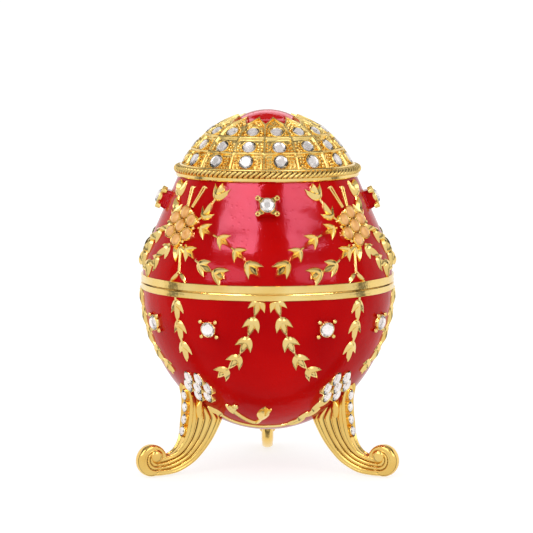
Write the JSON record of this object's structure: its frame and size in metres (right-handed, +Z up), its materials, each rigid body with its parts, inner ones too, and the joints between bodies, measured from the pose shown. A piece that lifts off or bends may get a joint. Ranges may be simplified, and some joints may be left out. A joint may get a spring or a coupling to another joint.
{
  "type": "jewelled egg trinket box",
  "caption": "Red enamelled egg-shaped trinket box with gold garlands, crystal lattice dome and stone flowers; the lid lifts off the hollow bowl, which stands on fluted scroll legs.",
  "frame": {"origin": "On the ground, at the middle of the box's plan outline; the egg's own axis is 2.3 mm in front of it.", "axes": "+Z up along the egg's axis, -Y the front, +X to the right seen from the front."},
  "size_m": [0.0542, 0.0575, 0.075],
  "materials": {
    "red_enamel": "gloss",
    "gold": "polished",
    "crystal": "polished",
    "peach_stone": "gloss"
  },
  "bodies": {
    "root": {"bowl": "red_enamel", "lid": "red_enamel", "leg_left": "gold", "leg_right": "gold", "leg_back": "gold", "lid_crystal_front": "crystal", "lid_crystal_right": "crystal", "lid_crystal_back": "crystal", "lid_crystal_left": "crystal", "bowl_crystal_1": "crystal", "bowl_crystal_2": "crystal", "bowl_crystal_3": "crystal", "bowl_crystal_4": "crystal", "bowl_crystal_5": "crystal", "bowl_crystal_6": "crystal", "bowl_crystal_7": "crystal", "bowl_crystal_8": "crystal", "dome_crystal_1": "crystal", "dome_crystal_2": "crystal", "dome_crystal_3": "crystal", "dome_crystal_4": "crystal", "dome_crystal_5": "crystal", "dome_crystal_6": "crystal", "dome_crystal_7": "crystal", "dome_crystal_8": "crystal", "dome_crystal_9": "crystal", "dome_crystal_10": "crystal", "dome_crystal_11": "crystal", "dome_crystal_12": "crystal", "dome_crystal_13": "crystal", "dome_crystal_14": "crystal", "dome_crystal_15": "crystal", "lid_flower_front_right": "peach_stone", "lid_flower_back_right": "peach_stone", "lid_flower_front_left": "peach_stone", "lid_flower_back_left": "peach_stone", "bowl_flower_front_right": "crystal", "bowl_flower_back_right": "crystal", "bowl_flower_front_left": "crystal", "bowl_flower_back_left": "crystal", "leg_left_crystal_1": "crystal", "leg_left_crystal_2": "crystal", "leg_left_crystal_3": "crystal", "leg_left_crystal_4": "crystal", "leg_right_crystal_1": "crystal", "leg_right_crystal_2": "crystal", "leg_right_crystal_3": "crystal", "leg_right_crystal_4": "crystal", "leg_back_crystal_1": "crystal", "leg_back_crystal_2": "crystal", "leg_back_crystal_3": "crystal", "leg_back_crystal_4": "crystal"}
  },
  "joints": []
}
